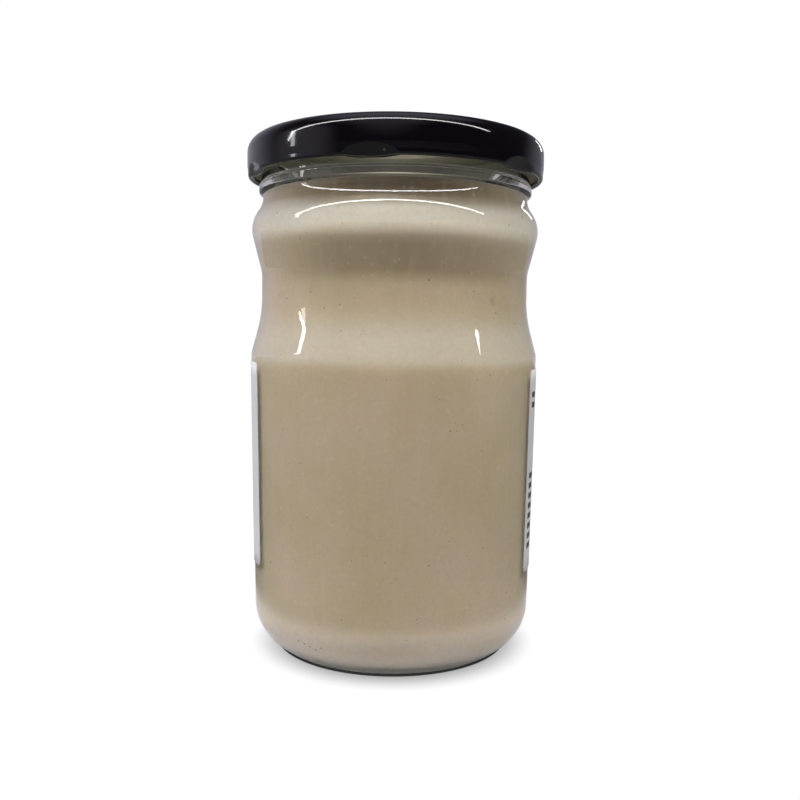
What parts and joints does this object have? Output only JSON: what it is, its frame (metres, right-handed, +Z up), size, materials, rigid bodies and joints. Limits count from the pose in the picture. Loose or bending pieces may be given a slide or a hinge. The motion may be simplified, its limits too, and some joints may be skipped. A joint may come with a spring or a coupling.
{
  "type": "honey jar",
  "caption": "Shut, waisted clear glass jar of creamed honey with a black twist-off metal lid and a plain paper label wrapped round its far side.",
  "frame": {"origin": "centre of the jar's base, on the surface that it stands on", "axes": "+Z up along the jar's axis; -Y towards the front, the side without the label; +X to the right seen from the front"},
  "size_m": [0.085, 0.085, 0.1444],
  "materials": {
    "clear_glass": "clear and glossy, faintly green",
    "creamed_honey": "opaque, pale beige, softly mottled",
    "black_lacquer": "glossy black lacquer",
    "label_paper": "matt white paper"
  },
  "bodies": {
    "root": {"jar_glass": "clear_glass", "honey": "creamed_honey", "lid": "black_lacquer", "label": "label_paper"}
  },
  "joints": []
}
